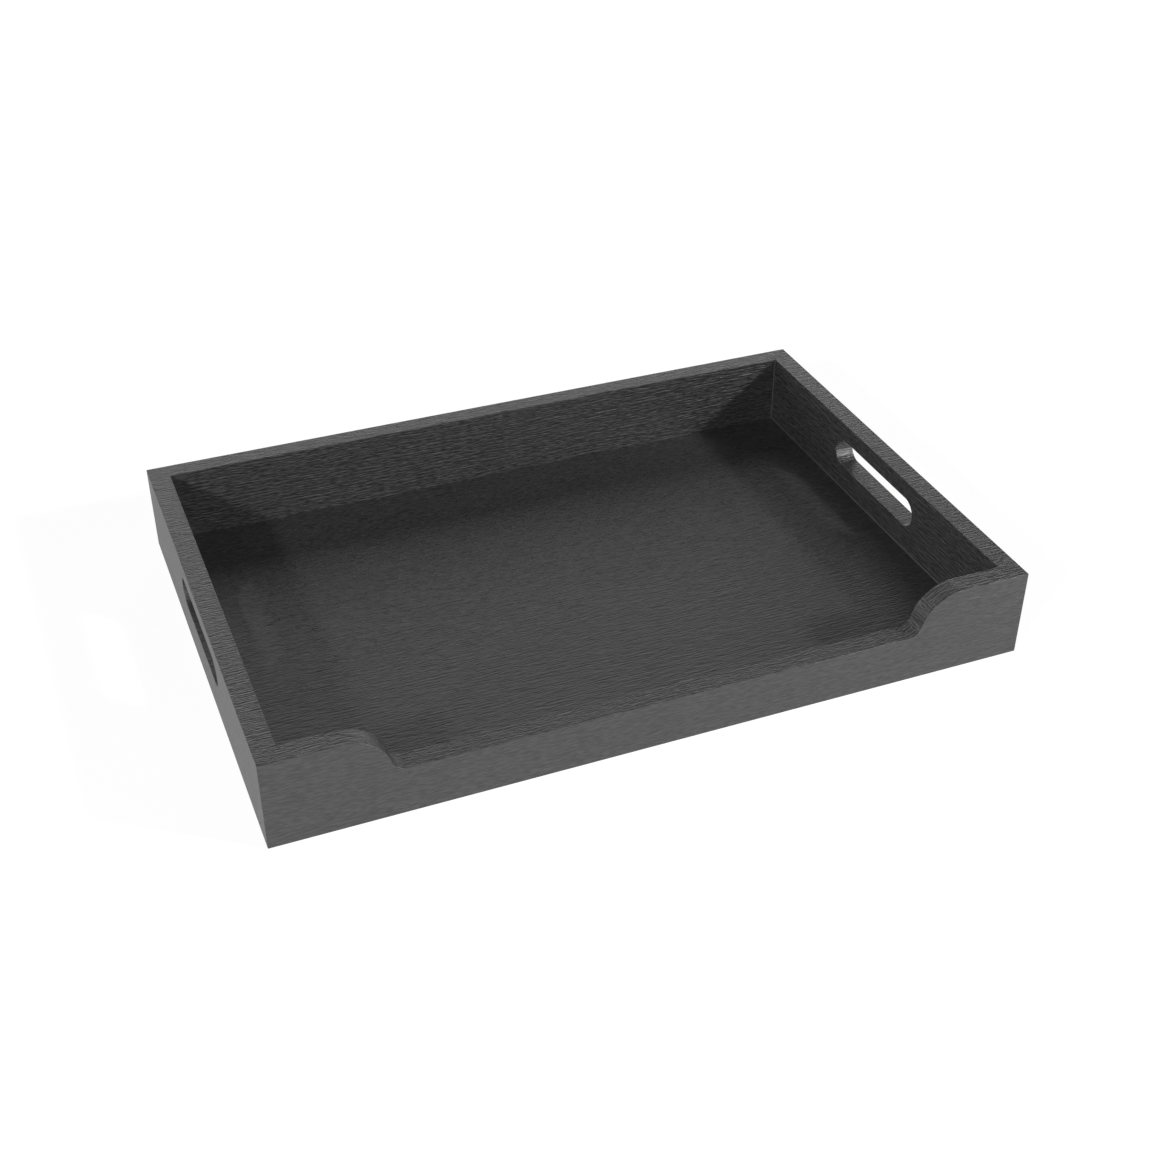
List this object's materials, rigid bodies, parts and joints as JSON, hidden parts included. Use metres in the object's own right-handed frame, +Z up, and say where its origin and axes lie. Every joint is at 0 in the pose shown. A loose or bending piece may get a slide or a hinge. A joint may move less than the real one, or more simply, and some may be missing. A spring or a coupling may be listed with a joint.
{
  "type": "serving tray",
  "caption": "Low wooden serving tray with a hand slot in each end rail and a front rail cut down between round shoulders, round a grooved-in base panel.",
  "frame": {"origin": "centre of the footprint, on the surface that the tray stands on", "axes": "+X along the length, +Y from the low front rail towards the back rail, +Z up"},
  "size_m": [0.5, 0.337, 0.0615],
  "materials": {
    "stained_rails": "brushed open-grain wood, near-black stain, matt lacquer",
    "stained_panel": "open-grain veneered panel, near-black stain, matt lacquer",
    "beech_dowels": "bare turned beech"
  },
  "bodies": {
    "root": {"front_rail": "stained_rails", "back_rail": "stained_rails", "left_end_rail": "stained_rails", "right_end_rail": "stained_rails", "base_panel": "stained_panel", "dowel_front_left_lower": "beech_dowels", "dowel_front_left_upper": "beech_dowels", "dowel_front_right_lower": "beech_dowels", "dowel_front_right_upper": "beech_dowels", "dowel_back_left_lower": "beech_dowels", "dowel_back_left_upper": "beech_dowels", "dowel_back_right_lower": "beech_dowels", "dowel_back_right_upper": "beech_dowels"}
  },
  "joints": []
}
